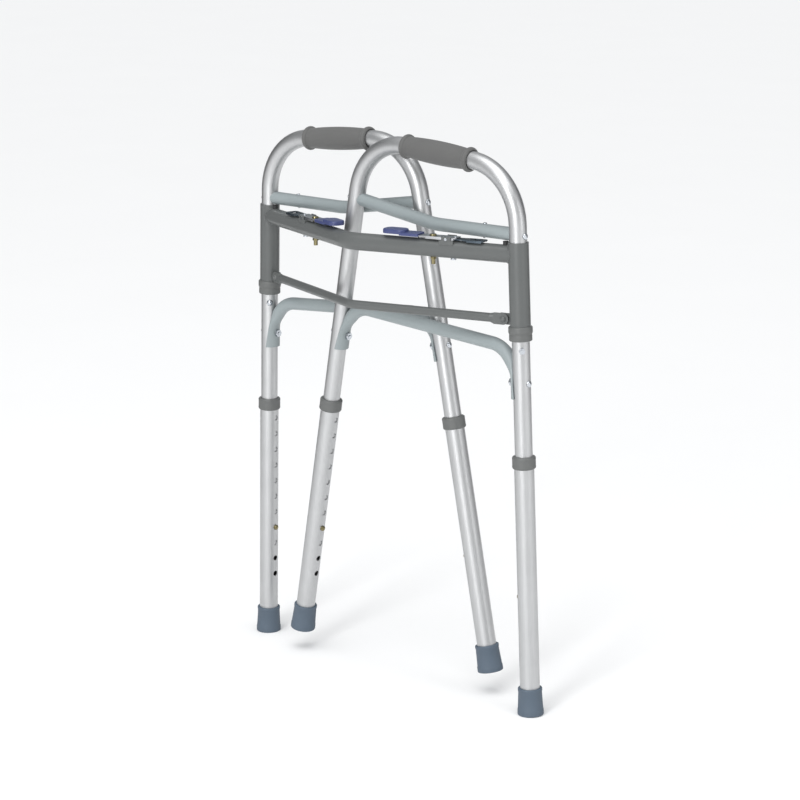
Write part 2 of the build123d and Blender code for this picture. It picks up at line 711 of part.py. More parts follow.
def latch_lever(side):
    """Pressed steel channel that rocks on the pivot pin, open over the spring and bolt."""
    plane = latch_plane(side)
    start, stop = latch_x(LEVER_START), latch_x(LEVER_END)
    flange = 1.5
    with BuildPart() as lever:
        with BuildSketch(plane.offset(LEVER_BOTTOM)):
            with Locations(((start + stop) / 2, 0)):
                RectangleRounded(stop - start, LEVER_WIDTH, 2)
            with Locations((latch_x(LATCH_BOLT_ALONG), 0)):
                Circle(LATCH_BOLT_DIAMETER / 2 + 1, mode=Mode.SUBTRACT)
        extrude(amount=LEVER_TOP - LEVER_BOTTOM)
        with BuildSketch(plane.offset(SADDLE_TOP + 0.6)):
            with Locations(((start + 4 + stop - 24) / 2, 0)):
                with GridLocations(0, LEVER_WIDTH - flange, 1, 2):
                    Rectangle(stop - start - 28, flange)
        extrude(amount=LEVER_BOTTOM - SADDLE_TOP - 0.6)
        with BuildSketch(beside(plane)):
            with Locations((0, PIVOT_UP)):
                Circle(PIN_DIAMETER / 2 + 0.05)
        extrude(amount=LEVER_WIDTH, both=True, mode=Mode.SUBTRACT)
        with BuildSketch(plane):
            with Locations((latch_x(HOOK_RIVET_ALONG), 0)):
                Circle(RIVET_DIAMETER / 2)
        extrude(amount=EAR_TOP, mode=Mode.SUBTRACT)
    save(lever, f"latch_lever_{side}")


def latch_hook(side):
    """Dark hook plate riveted under the lever's outer end: a rectangular opening and downturned rims."""
    plane = latch_plane(side)
    start, stop = latch_x(HOOK_START), latch_x(101)
    with BuildPart() as hook:
        with BuildSketch(plane.offset(LEVER_BOTTOM - HOOK_THICKNESS)):
            with BuildLine():
                half, neck = HOOK_WIDTH / 2, LEVER_WIDTH / 2 - 2
                Polyline((start, -half + 2.5), (start + 2.5, -half), (start + 26, -half),
                         (start + 34, -neck),
                         (stop, -neck), (stop, neck), (start + 34, neck), (start + 26, half),
                         (start + 2.5, half), (start, half - 2.5), close=True)
            make_face()
            with Locations((start + 5 + HOOK_OPENING[0] / 2, 0)):
                RectangleRounded(*HOOK_OPENING, 1.2, mode=Mode.SUBTRACT)
            with Locations((latch_x(HOOK_RIVET_ALONG), 0)):
                Circle(RIVET_DIAMETER / 2, mode=Mode.SUBTRACT)
        extrude(amount=HOOK_THICKNESS)
        with BuildSketch(plane.offset(LEVER_BOTTOM - HOOK_THICKNESS)):
            with Locations((start + 14, 0)):
                with GridLocations(0, HOOK_WIDTH - 1.5, 1, 2):
                    Rectangle(23, 1.5)
        extrude(amount=-HOOK_RIM)
    save(hook, f"latch_hook_{side}")


def hook_rivet(side):
    """Rivet that joins hook and lever."""
    plane = latch_plane(side)
    with BuildPart() as rivet:
        with BuildSketch(plane.offset(LEVER_BOTTOM - HOOK_THICKNESS)):
            with Locations((latch_x(HOOK_RIVET_ALONG), 0)):
                Circle(RIVET_DIAMETER / 2)
        extrude(amount=HOOK_THICKNESS + LEVER_TOP - LEVER_BOTTOM)
        with BuildSketch(plane.offset(LEVER_TOP)):
            with Locations((latch_x(HOOK_RIVET_ALONG), 0)):
                Circle(RIVET_HEAD)
        extrude(amount=1.4, taper=25)
    save(rivet, f"hook_rivet_{side}")


def release_paddle(side):
    """Moulded press paddle on the lever's inner end: a low hub and a raised round-ended pad."""
    plane = latch_plane(side)
    hub_start, hub_end, tip = latch_x(PADDLE_HUB_START), latch_x(PADDLE_HUB_END), latch_x(PADDLE_END)
    pad_start = hub_end - 9
    with BuildPart() as paddle:
        with BuildSketch(plane.offset(PADDLE_TIP_BOTTOM)):
            with Locations(((pad_start + tip) / 2, 0)):
                RectangleRounded(tip - pad_start, PADDLE_WIDTH, 10)
        extrude(amount=PADDLE_TIP_TOP - PADDLE_TIP_BOTTOM)
        top_rim = paddle.faces().filter_by(Axis.Z).sort_by(Axis.Z)[-1].edges()
        fillet(top_rim, 2)
        with BuildSketch(plane.offset(PADDLE_HUB_BOTTOM)):
            with Locations(((hub_start + hub_end) / 2, 0)):
                RectangleRounded(hub_end - hub_start, PADDLE_WIDTH, 3)
        extrude(amount=PADDLE_HUB_TOP - PADDLE_HUB_BOTTOM)
        with BuildSketch(plane.offset(LEVER_BOTTOM)):
            with Locations(((latch_x(LEVER_START) + latch_x(LEVER_END)) / 2, 0)):
                RectangleRounded(latch_x(LEVER_END) - latch_x(LEVER_START), LEVER_WIDTH, 2)
        extrude(amount=LEVER_TOP - LEVER_BOTTOM, mode=Mode.SUBTRACT)
    save(paddle, f"release_paddle_{side}")


def latch_pins():
    """Pivot pins of the two levers."""
    length = LEVER_WIDTH + 2 * (RUNNING_GAP + EAR_THICKNESS) + 1.6
    with BuildPart() as pins:
        for side in SIDES:
            with BuildSketch(beside(latch_plane(side)).offset(-length / 2)):
                with Locations((0, PIVOT_UP)):
                    Circle(PIN_DIAMETER / 2)
            extrude(amount=length)
    save(pins, "latch_pins")


def latch_bolts():
    """Bolts that hold each lever's spring: a head over the lever, a thread that shows under the bar."""
    head_bottom = LEVER_TOP + 0.3
    with BuildPart() as bolts:
        for side in SIDES:
            plane = latch_plane(side)
            with BuildSketch(plane.offset(-LATCH_BOLT_BELOW)):
                with Locations((latch_x(LATCH_BOLT_ALONG), 0)):
                    Circle(LATCH_BOLT_DIAMETER / 2)
            extrude(amount=LATCH_BOLT_BELOW + head_bottom)
            with BuildSketch(plane.offset(head_bottom)):
                with Locations((latch_x(LATCH_BOLT_ALONG), 0)):
                    Circle(5.2)
            extrude(amount=2, taper=20)
            with BuildSketch(plane.offset(-BAR_OD / 2 - 3)):
                with Locations((latch_x(LATCH_BOLT_ALONG), 0)):
                    RegularPolygon(4.6, 6)
            extrude(amount=3)
    save(bolts, "latch_bolts")


def latch_rivets():
    """Rivets that fasten the saddles, flush in the saddle and domed under the bar."""
    with BuildPart() as rivets:
        for side in SIDES:
            plane = latch_plane(side)
            with BuildSketch(plane.offset(-BAR_OD / 2 - 0.6)):
                with Locations((latch_x(LATCH_RIVET_ALONG), 0)):
                    Circle(SCREW_DIAMETER / 2)
            extrude(amount=BAR_OD / 2 + 0.6 + SADDLE_TOP)
            with BuildSketch(plane.offset(-BAR_OD / 2 - 2.2)):
                with Locations((latch_x(LATCH_RIVET_ALONG), 0)):
                    Circle(4)
            extrude(amount=2)
    save(rivets, "latch_rivets")


def latch_spring(side):
    """Short coil spring round the bolt, between the bar and the lever."""
    plane = latch_plane(side)
    foot = BAR_OD / 2 + LATCH_SPRING_WIRE / 2 + 0.05
    height = LEVER_BOTTOM - LATCH_SPRING_WIRE / 2 - 0.05 - foot
    radius = (LATCH_SPRING_OD - LATCH_SPRING_WIRE) / 2
    centre = plane.from_local_coords(Vector(latch_x(LATCH_BOLT_ALONG), 0, foot))
    with BuildPart() as spring:
        with BuildLine():
            coil = Helix(pitch=height / 2, height=height, radius=radius, center=centre)
        with BuildSketch(Plane(origin=coil @ 0, z_dir=coil % 0)):
            Circle(LATCH_SPRING_WIRE / 2)
        sweep()
    save(spring, f"latch_spring_{side}")


# ---------------------------------------------------------------- build
for side in SIDES:
    side_tube(side)
    side_brace_upper(side)
    side_brace_lower(side)
    brace_rivet(side)
    hand_grip(side)
    brace_bolts(side)
    brace_plugs(side)
    stop_bolt(side)
    button_springs(side)
    for end in ENDS:
        leg_extension(side, end)
        leg_collar(side, end)
        rubber_tip(side, end)
        snap_button(side, end)
    hinge_sleeve(side)
    sleeve_collar(side)
    sleeve_bush(side)
    latch_bracket(side)
    latch_lever(side)
    latch_hook(side)
    hook_rivet(side)
    release_paddle(side)
    latch_spring(side)
front_bar_upper()
front_bar_lower()
front_bar_screws()
bar_bumpers()
latch_pins()
latch_bolts()
latch_rivets()
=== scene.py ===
import json
import math

import bmesh
import bpy
from mathutils import Matrix, Vector


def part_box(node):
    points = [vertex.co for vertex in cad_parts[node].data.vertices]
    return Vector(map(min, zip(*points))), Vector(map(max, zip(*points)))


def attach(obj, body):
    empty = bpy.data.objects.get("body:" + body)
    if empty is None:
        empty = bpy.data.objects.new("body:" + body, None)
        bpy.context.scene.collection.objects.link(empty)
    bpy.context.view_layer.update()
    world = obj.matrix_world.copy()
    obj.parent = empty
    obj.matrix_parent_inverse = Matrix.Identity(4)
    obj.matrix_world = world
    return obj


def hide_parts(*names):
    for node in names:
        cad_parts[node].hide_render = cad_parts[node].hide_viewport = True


# Looks of the folding walking frame. Metres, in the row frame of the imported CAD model.

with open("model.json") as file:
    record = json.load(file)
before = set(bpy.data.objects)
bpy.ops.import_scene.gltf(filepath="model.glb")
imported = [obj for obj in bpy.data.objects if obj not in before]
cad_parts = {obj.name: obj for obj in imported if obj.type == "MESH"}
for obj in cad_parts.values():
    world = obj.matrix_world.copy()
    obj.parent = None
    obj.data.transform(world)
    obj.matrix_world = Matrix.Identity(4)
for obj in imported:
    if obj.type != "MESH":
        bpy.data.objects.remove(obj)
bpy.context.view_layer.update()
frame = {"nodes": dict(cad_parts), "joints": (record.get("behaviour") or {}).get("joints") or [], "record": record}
nodes = frame["nodes"]
joints = {joint["name"]: joint for joint in frame["joints"]}

SIDES = ("left", "right")
ENDS = ("front", "rear")

# Sizes shared with the CAD model
LEG_RADIUS = 0.0127
EXTENSION_RADIUS = 0.0143
EXTENSION_MIDDLE = 0.190          # of the extension tube, up the leg from its foot
TIP_HEIGHT = 0.040
TIP_TOP_RADIUS = 0.0176
TIP_FOOT_RADIUS = 0.019
TIP_SEAT = 0.009                  # the extension tube stands on this much rubber
COLLAR_BOTTOM = 0.3637
COLLAR_TOP = 0.3821
EXTENSION_TOP = 0.371
COLLAR_RADIUS = 0.017
SLEEVE_RADIUS = 0.0148
BAR_RADIUS = 0.0127
BRACE_RADIUS = 0.009525
BRACE_WALL = 0.0014
BRACE_OFFSET = 0.013              # from a leg's centre line to the lower brace's end runs
BRACE_END = 0.461                 # height of the lower brace's tips above the side frame's floor line
BRACE_HEIGHT = 0.5305
BRACE_BEND = 0.044
BRACE_BOLT = 0.487                # up the leg
SCREW_RADIUS = 0.0025
GRIP_LENGTH = 0.126


# ---------------------------------------------------------------- places from the frame
def middle(node):
    low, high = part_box(node)
    return (low + high) / 2


class Leg:
    """A leg's centre line: its foot, the direction up the leg and the direction towards the other leg."""

    def __init__(self, side, end):
        self.up = -Vector(joints[f"{end}_{side}_height"]["axis"]).normalized()
        self.inward = -Vector(joints[f"{end}_{side}_button_press"]["axis"])
        self.inward = (self.inward - self.up * self.inward.dot(self.up)).normalized()
        self.across = self.up.cross(self.inward)
        self.foot = middle(f"leg_extension_{end}_{side}") - self.up * EXTENSION_MIDDLE

    def at(self, height, inward=0.0, across=0.0):
        return self.foot + self.up * height + self.inward * inward + self.across * across


LEGS = {(side, end): Leg(side, end) for side in SIDES for end in ENDS}


def side_axes(side):
    """A side frame's own upright and the direction from its front foot to its rear foot."""
    front, rear = LEGS[side, "front"], LEGS[side, "rear"]
    upright = (front.up + rear.up).normalized()
    depth = (rear.foot - front.foot).normalized()
    return upright, depth


# ---------------------------------------------------------------- materials
def add(tree, kind, **values):
    node = tree.nodes.new(kind)
    for key, value in values.items():
        if key in node.inputs:
            node.inputs[key].default_value = value
        else:
            setattr(node, key, value)
    return node


class Finish:
    """A Principled material whose colour, roughness and bump come from procedural textures."""

    def __init__(self, name, metallic=0.0, **sockets):
        self.material = bpy.data.materials.new(name)
        self.material.use_nodes = True
        self.tree = self.material.node_tree
        self.shader = self.tree.nodes["Principled BSDF"]
        self.shader.inputs["Metallic"].default_value = metallic
        for key, value in sockets.items():
            self.shader.inputs[key].default_value = value
        self.place = add(self.tree, "ShaderNodeTexCoord").outputs["Object"]
        self.height = None

    def link(self, source, target):
        self.tree.links.new(source, target)

    def noise(self, scale, detail=3.0, roughness=0.5, stretch=None, distortion=0.0):
        """Noise of a number of cells per metre. stretch squeezes it along the three axes."""
        texture = add(self.tree, "ShaderNodeTexNoise", Scale=scale, Detail=detail, Roughness=roughness,
                      Distortion=distortion)
        source = self.place
        if stretch:
            mapping = add(self.tree, "ShaderNodeMapping", Scale=stretch)
            self.link(source, mapping.inputs["Vector"])
            source = mapping.outputs["Vector"]
        self.link(source, texture.inputs["Vector"])
        return texture.outputs["Fac"]

    def cells(self, scale):
        texture = add(self.tree, "ShaderNodeTexVoronoi", Scale=scale)
        self.link(self.place, texture.inputs["Vector"])
        return texture.outputs["Distance"]

    def ramp(self, source, stops):
        node = add(self.tree, "ShaderNodeValToRGB")
        elements = node.color_ramp.elements
        while len(elements) < len(stops):
            elements.new(0.5)
        for element, (position, colour) in zip(elements, stops):
            element.position = position
            element.color = (*colour, 1.0)
        self.link(source, node.inputs["Fac"])
        return node.outputs["Color"]

    def spread(self, source, low, high):
        node = add(self.tree, "ShaderNodeMapRange")
        node.inputs["From Min"].default_value = 0.3
        node.inputs["From Max"].default_value = 0.7
        node.inputs["To Min"].default_value = low
        node.inputs["To Max"].default_value = high
        self.link(source, node.inputs["Value"])
        return node.outputs["Result"]

    def colour(self, source, dark, light):
        self.link(self.ramp(source, [(0.3, dark), (0.7, light)]), self.shader.inputs["Base Color"])
        return self

    def mixed_colour(self, first, second, fine, coarse, share):
        """Two colour ranges, the second worked in where the coarse texture is strong."""
        mix = add(self.tree, "ShaderNodeMix", data_type="RGBA")
        amount = self.spread(coarse, 0.0, share)
        self.link(amount, mix.inputs[0])
        self.link(self.ramp(fine, [(0.3, first[0]), (0.7, first[1])]), mix.inputs[6])
        self.link(self.ramp(fine, [(0.3, second[0]), (0.7, second[1])]), mix.inputs[7])
        self.link(mix.outputs[2], self.shader.inputs["Base Color"])
        return self

    def roughness(self, source, low, high):
        self.link(self.spread(source, low, high), self.shader.inputs["Roughness"])
        return self

    def bump(self, source, depth):
        """Adds a bump layer of a depth in metres."""
        node = add(self.tree, "ShaderNodeBump", Distance=depth, Strength=1.0)
        self.link(source, node.inputs["Height"])
        if self.height is not None:
            self.link(self.height, node.inputs["Normal"])
        self.height = node.outputs["Normal"]
        self.link(self.height, self.shader.inputs["Normal"])
        return self


def shade(colour, factor):
    return tuple(min(1.0, channel * factor) for channel in colour)


def anodised(name, colour):
    """Satin anodised tube: fine bead-blast grain, faint drawing lines and soft handling marks."""
    finish = Finish(name, metallic=1.0)
    lines = finish.noise(900.0, 2.0, stretch=(1.0, 1.0, 0.012))
    grain = finish.noise(5200.0, 2.0, 0.6)
    marks = finish.noise(26.0, 5.0, 0.62)
    finish.mixed_colour((shade(colour, 0.95), shade(colour, 1.03)), (shade(colour, 0.88), shade(colour, 0.97)),
                        lines, marks, 0.5)
    finish.roughness(marks, 0.40, 0.48)
    return finish.bump(grain, 0.000012).bump(lines, 0.000010).material


def powder_coat(name, colour, texture_depth, gloss=(0.36, 0.5), wear=0.35):
    """Powder coat: orange-peel texture, mottled tone, and duller, darker patches where hands rub it."""
    finish = Finish(name, **{"Specular IOR Level": 0.4, "Coat Weight": 0.05, "Coat Roughness": 0.3})
    peel = finish.cells(620.0)
    fine = finish.noise(1500.0, 3.0, 0.6)
    patches = finish.noise(19.0, 5.0, 0.6)
    finish.mixed_colour((shade(colour, 0.93), shade(colour, 1.06)), (shade(colour, 0.8), shade(colour, 0.94)),
                        fine, patches, wear)
    finish.roughness(patches, *gloss)
    return finish.bump(peel, texture_depth).bump(fine, texture_depth * 0.5).material


def moulded(name, colour, gloss, grain_depth, grain_scale=1800.0, patch=0.3, **sockets):
    """Moulded plastic or rubber: fine spark-eroded grain, flow marks and slight scuffs."""
    finish = Finish(name, **sockets)
    grain = finish.noise(grain_scale, 3.0, 0.65)
    flow = finish.noise(34.0, 4.0, 0.55, distortion=0.6)
    finish.mixed_colour((shade(colour, 0.94), shade(colour, 1.07)), (shade(colour, 1.1), shade(colour, 1.25)),
                        grain, flow, patch)
    finish.roughness(flow, *gloss)
    return finish.bump(grain, grain_depth).material


def plated(name, colour, gloss=(0.2, 0.36), brush=(1.0, 1.0, 0.05)):
    """Plated or pressed steel: fine brushing, cloudy plating and small dark specks."""
    finish = Finish(name, metallic=1.0)
    lines = finish.noise(2400.0, 2.0, stretch=brush)
    cloud = finish.noise(95.0, 5.0, 0.6)
    finish.mixed_colour((shade(colour, 0.92), shade(colour, 1.05)), (shade(colour, 0.66), shade(colour, 0.85)),
                        lines, cloud, 0.55)
    finish.roughness(cloud, *gloss)
    return finish.bump(lines, 0.000012).material


MATERIALS = {
    "satin_aluminium": anodised("satin_aluminium", (0.54, 0.545, 0.55)),
    "dark_powder_coat": powder_coat("dark_powder_coat", (0.108, 0.114, 0.113), 0.00004, (0.27, 0.38)),
    "blue_grey_paint": powder_coat("blue_grey_paint", (0.275, 0.312, 0.320), 0.00002, (0.4, 0.52), 0.25),
    "grey_grip": moulded("grey_grip", (0.092, 0.092, 0.090), (0.62, 0.74), 0.00006, 1500.0,
                         **{"Sheen Weight": 0.12, "Sheen Roughness": 0.6}),
    "grey_collar": moulded("grey_collar", (0.112, 0.116, 0.114), (0.42, 0.55), 0.00002),
    "blue_grey_rubber": moulded("blue_grey_rubber", (0.080, 0.108, 0.142), (0.58, 0.72), 0.00004, 1400.0, 0.22),
    "zinc_steel": plated("zinc_steel", (0.62, 0.65, 0.69), (0.10, 0.2)),
    "latch_steel": plated("latch_steel", (0.50, 0.51, 0.53), (0.24, 0.38), (1.0, 1.0, 1.0)),
    "hook_steel": plated("hook_steel", (0.10, 0.125, 0.15), (0.28, 0.42), (1.0, 1.0, 1.0)),
    "blue_plastic": moulded("blue_plastic", (0.040, 0.052, 0.150), (0.28, 0.4), 0.000012, 2200.0, 0.3),
    "brass": plated("brass", (0.27, 0.235, 0.13), (0.22, 0.36)),
    "spring_steel": plated("spring_steel", (0.45, 0.45, 0.46), (0.25, 0.4)),
    "black_rubber": moulded("black_rubber", (0.02, 0.02, 0.021), (0.55, 0.7), 0.00003),
}


# ---------------------------------------------------------------- mesh helpers
def smooth(mesh, angle=35.0):
    mesh.shade_smooth()
    mesh.set_sharp_from_angle(angle=math.radians(angle))


def piece(name, body, slot, vertices, faces, replaced=(), angle=35.0):
    """A new piece from points in the row frame: it rides a body, takes a slot and may replace CAD nodes."""
    mesh = bpy.data.meshes.new(name)
    mesh.from_pydata([tuple(v) for v in vertices], [], faces)
    mesh.validate()
    form = bmesh.new()
    form.from_mesh(mesh)
    bmesh.ops.recalc_face_normals(form, faces=form.faces)
    form.to_mesh(mesh)
    form.free()
    smooth(mesh, angle)
    mesh.materials.append(MATERIALS[slot])
    shown = bpy.data.objects.new(name, mesh)
    bpy.context.scene.collection.objects.link(shown)
    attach(shown, body)
    if replaced:
        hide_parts(*replaced)
    return shown


def lathe(origin, axis, side_axis, profile, steps=96, ring=True, shape=None):
    """Points and faces of a turned shape. profile holds (distance along the axis, radius). A ring's
    profile joins its end to its start; any other shape is closed on the axis at both its ends.
    shape(turn, along, radius) may change a radius."""
    third = axis.cross(side_axis)
    vertices, faces = [], []
    for step in range(steps):
        turn = 2 * math.pi * step / steps
        out = side_axis * math.cos(turn) + third * math.sin(turn)
        for along, radius in profile:
            if shape:
                radius = shape(turn, along, radius)
            vertices.append(origin + axis * along + out * radius)
    count = len(profile)
    for step in range(steps):
        here, there = step * count, (step + 1) % steps * count
        for k in range(count if ring else count - 1):
            after = (k + 1) % count
            faces.append((here + k, here + after, there + after, there + k))
        if not ring:
            faces.append((steps * count, here, there))
            faces.append((steps * count + 1, there + count - 1, here + count - 1))
    if not ring:
        vertices += [origin + axis * profile[0][0], origin + axis * profile[-1][0]]
    return vertices, faces


def joined(*shapes):
    """Several (points, faces) shapes as one."""
    vertices, faces = [], []
    for points, polygons in shapes:
        start = len(vertices)
        vertices += points
        faces += [tuple(start + corner for corner in polygon) for polygon in polygons]
    return vertices, faces


def arc(centre, radius, start, stop, steps):
    """Points of an arc in an (along, radius) profile, angles in degrees."""
    points = []
    for k in range(steps + 1):
        angle = math.radians(start + (stop - start) * k / steps)
        points.append((centre[0] + radius * math.cos(angle), centre[1] + radius * math.sin(angle)))
    return points


def bevelled(node, name, body, slot, width, segments=3):
    """A CAD node's shape with small rounded edges, as a piece of its own."""
    form = bmesh.new()
    form.from_mesh(nodes[node].data)
    bmesh.ops.remove_doubles(form, verts=form.verts, dist=1e-6)
    bmesh.ops.dissolve_limit(form, angle_limit=math.radians(1.0), verts=form.verts, edges=form.edges)
    mesh = bpy.data.meshes.new(name)
    form.to_mesh(mesh)
    form.free()
    mesh.materials.clear()
    mesh.materials.append(MATERIALS[slot])
    shown = bpy.data.objects.new(name, mesh)
    bpy.context.scene.collection.objects.link(shown)
    bevel = shown.modifiers.new("edges", "BEVEL")
    bevel.width = width
    bevel.segments = segments
    bevel.limit_method = "ANGLE"
    bevel.angle_limit = math.radians(40)
    bevel.harden_normals = False
    bpy.context.view_layer.update()
    final = bpy.data.meshes.new_from_object(shown.evaluated_get(bpy.context.evaluated_depsgraph_get()))
    shown.modifiers.clear()
    shown.data = final
    smooth(final, 32.0)
    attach(shown, body)
    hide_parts(node)
    return shown


# ---------------------------------------------------------------- grips
CROWN_EASE = 0.12                 # share of half a grip over which the crown rises from its neck
SEAM_HEIGHT = 0.00022
SEAM_ARC = 0.02                   # half the parting line's width, in radians


def grip(side):
    """Moulded grip: crowned barrel, a neck and a round bead at each end, end faces set back round the tube."""
    upright, depth = side_axes(side)
    centre = middle(f"hand_grip_{side}")
    half = GRIP_LENGTH / 2
    bead, bead_centre = 0.0046, 0.0132
    neck, neck_radius, barrel_radius = 0.0135, 0.0152, 0.0171
    lip = half - 0.0008
    ends = [(half - 0.0025, LEG_RADIUS), (half - 0.0025, LEG_RADIUS + 0.0012), (lip, LEG_RADIUS + 0.0019)]
    ends += arc((half - bead, bead_centre), bead, 10, 150, 14)
    barrel = []
    run = half - neck
    for k in range(33):
        along = run * (1 - 2 * k / 32)
        crown = 1 - (along / run) ** 2
        fade = min(1.0, (1 - abs(along) / run) / CROWN_EASE)
        barrel.append((along, neck_radius + (barrel_radius - neck_radius) * crown * fade ** 0.5))
    profile = ends + barrel + [(-along, radius) for along, radius in reversed(ends)]

    def seam(turn, along, radius):
        """A fine mould parting line on both sides of the grip."""
        off_seam = abs(math.remainder(turn - math.pi / 2, math.pi))
        return radius + (SEAM_HEIGHT if off_seam < SEAM_ARC and radius > LEG_RADIUS + 0.001 else 0.0)

    vertices, faces = lathe(centre, depth, upright, profile, steps=160, shape=seam)
    piece(f"grip_{side}", f"{side}_frame", "grey_grip", vertices, faces, [f"hand_grip_{side}"], 50.0)


# ---------------------------------------------------------------- tips and collars
def tip(side, end):
    """Rubber tip: flared foot with a rounded edge, a thickened lip at the mouth and a ring tread."""
    leg = LEGS[side, end]
    bottom = -0.002 if end == "front" else 0.0
    edge = 0.0014
    profile = [(TIP_SEAT, 0.004), (TIP_SEAT, EXTENSION_RADIUS), (TIP_HEIGHT, EXTENSION_RADIUS)]
    profile += [(TIP_HEIGHT, TIP_TOP_RADIUS - 0.0013)]
    profile += arc((TIP_HEIGHT - 0.0012, TIP_TOP_RADIUS - 0.0012), 0.0012, 0, 90, 5)[1:]
    profile += [(TIP_HEIGHT - 0.0042, TIP_TOP_RADIUS), (TIP_HEIGHT - 0.0052, TIP_TOP_RADIUS - 0.0005)]
    profile += [(TIP_HEIGHT - 0.02, TIP_TOP_RADIUS + 0.0002), (0.0092, TIP_FOOT_RADIUS - 0.0006)]
    profile += [(0.0078, TIP_FOOT_RADIUS - 0.0001), (0.0045, TIP_FOOT_RADIUS)]
    profile += arc((edge, TIP_FOOT_RADIUS - edge), edge, 90, 180, 6)
    for groove in (0.012, 0.006):
        half = 0.0011
        profile += [(bottom, groove + half), (0.0014, groove + half), (0.0014, groove - half),
                    (bottom, groove - half)]
    profile += [(bottom, 0.002)]
    vertices, faces = lathe(leg.foot, leg.up, leg.inward, profile, steps=80, ring=False)
    if end == "front":
        for vertex in vertices:
            if vertex.z < 0:
                vertex -= leg.up * (vertex.z / leg.up.z)
    piece(f"tip_{end}_{side}", f"{end}_{side}_leg", "blue_grey_rubber", vertices, faces,
          [f"rubber_tip_{end}_{side}"])


def collar(side, end):
    """Collar on top of the extension tube: a short barrel with well rounded rims."""
    leg = LEGS[side, end]
    edge = 0.0030
    profile = [(COLLAR_BOTTOM, EXTENSION_RADIUS), (COLLAR_BOTTOM, COLLAR_RADIUS - edge)]
    profile += arc((COLLAR_BOTTOM + edge, COLLAR_RADIUS - edge), edge, 180, 90, 6)[1:]
    profile += [(COLLAR_BOTTOM + 0.0048, COLLAR_RADIUS - 0.0002), (COLLAR_TOP - 0.0048, COLLAR_RADIUS - 0.0002)]
    profile += arc((COLLAR_TOP - edge, COLLAR_RADIUS - edge), edge, 90, 0, 6)
    profile += [(COLLAR_TOP, LEG_RADIUS + 0.0005), (COLLAR_TOP - 0.0004, LEG_RADIUS + 0.00008)]
    profile += [(EXTENSION_TOP, LEG_RADIUS + 0.00008), (EXTENSION_TOP, EXTENSION_RADIUS)]
    vertices, faces = lathe(leg.foot, leg.up, leg.inward, profile, steps=96)
    piece(f"collar_{end}_{side}", f"{end}_{side}_leg", "grey_collar", vertices, faces,
          [f"leg_collar_{end}_{side}"])


# ---------------------------------------------------------------- lower side braces
CUP_ARC = math.radians(70)        # the flattened end's tip reaches this far round the leg each way
CUP_ARC_LOSS = math.radians(20)   # and it is this much narrower one CUP_TAPER further up
CUP_TAPER = 0.040
CUP_INNER = LEG_RADIUS + 0.00015
CUP_THICKNESS = 0.0030
CUP_WALL = 0.55                   # the pressed wall's thickness, as a share of the tube's
CUP_ARC_INSET = 12.0              # radians per metre that the cup's inside falls short of its outside
COPE_LENGTH = 0.08                # from a brace's tip, where it is kept clear of its leg
FLAT_LENGTH = 0.020               # of the cupped end, from its tip
FLAT_CHANGE = 0.036               # length over which the cup becomes a round tube
SEAT_CHANGE = 0.016               # length over which the tube's centre line leaves its seat on the leg


def brace_route(side):
    """Centre line of a lower brace in its side frame's (depth, upright) plane: points and tangents."""
    upright, depth = side_axes(side)
    leg_up = LEGS[side, "front"].up
    lean = math.atan2(leg_up.dot(depth), leg_up.dot(upright))
    span = (LEGS[side, "rear"].foot - LEGS[side, "front"].foot).length
    offset = BRACE_OFFSET / math.cos(lean)
    foot = (BRACE_END * math.tan(lean) + offset, BRACE_END)
    corner = (BRACE_HEIGHT * math.tan(lean) + offset, BRACE_HEIGHT)
    turn = math.pi / 2 - lean
    setback = BRACE_BEND * math.tan(turn / 2)
    run = math.hypot(corner[0] - foot[0], corner[1] - foot[1]) - setback
    up = (math.sin(lean), math.cos(lean))
    points = []
    for k in range(29):
        step = run * k / 28
        points.append(((foot[0] + up[0] * step, foot[1] + up[1] * step), up))
    bend_start = points[-1][0]
    centre = (bend_start[0] + BRACE_BEND * up[1], bend_start[1] - BRACE_BEND * up[0])
    for k in range(1, 21):
        angle = math.pi - lean - turn * k / 20
        here = (centre[0] + BRACE_BEND * math.cos(angle), centre[1] + BRACE_BEND * math.sin(angle))
        points.append((here, (math.sin(angle), -math.cos(angle))))
    for (x, z), (tx, tz) in reversed(list(points)):
        points.append(((span - x, z), (tx, -tz)))
    return points


def ease(length, start, change):
    """1 up to start, 0 beyond start + change and a smooth step between them."""
    share = 1 - min(1.0, max(0.0, (length - start) / change))
    return share * share * (3 - 2 * share)


